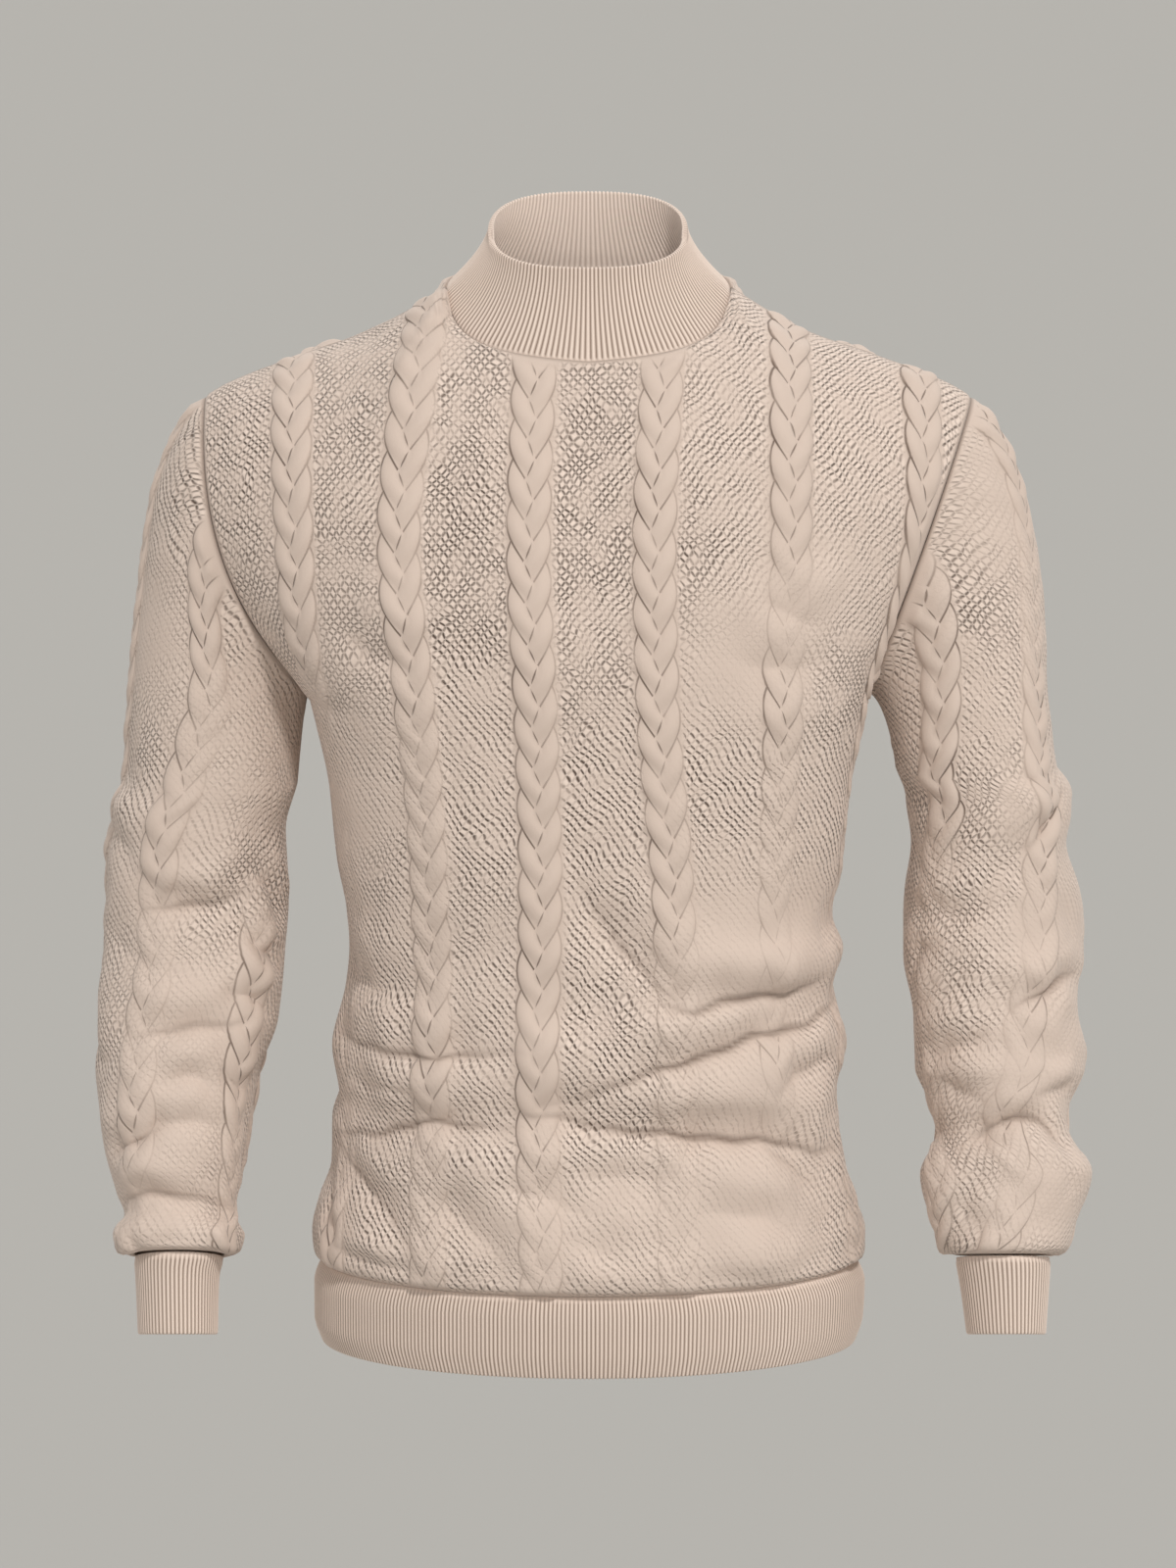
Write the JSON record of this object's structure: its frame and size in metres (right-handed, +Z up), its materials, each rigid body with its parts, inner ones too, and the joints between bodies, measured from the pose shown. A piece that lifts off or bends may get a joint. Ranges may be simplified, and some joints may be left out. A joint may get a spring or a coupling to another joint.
{
  "type": "high neck sweatshirt",
  "caption": "Worn, hollow long-sleeved pullover of cable jacquard cloth with a high rib collar, rib hem band and rib cuffs.",
  "frame": {"origin": "midway between the two high shoulder points, where the neck seam meets the shoulder seams and the wearer carries the garment", "axes": "+Z up, front of the garment towards -Y, the wearer's left towards +X"},
  "size_m": [0.6183, 0.248, 0.717],
  "materials": {
    "jacquard": "soft matt cable jacquard, oatmeal",
    "rib": "matt 1x1 rib, folded double, oatmeal"
  },
  "bodies": {
    "root": {"front": "jacquard", "back": "jacquard", "sleeve_left": "jacquard", "sleeve_right": "jacquard", "collar": "rib", "hem_band": "rib", "cuff_left": "rib", "cuff_right": "rib"}
  },
  "joints": []
}
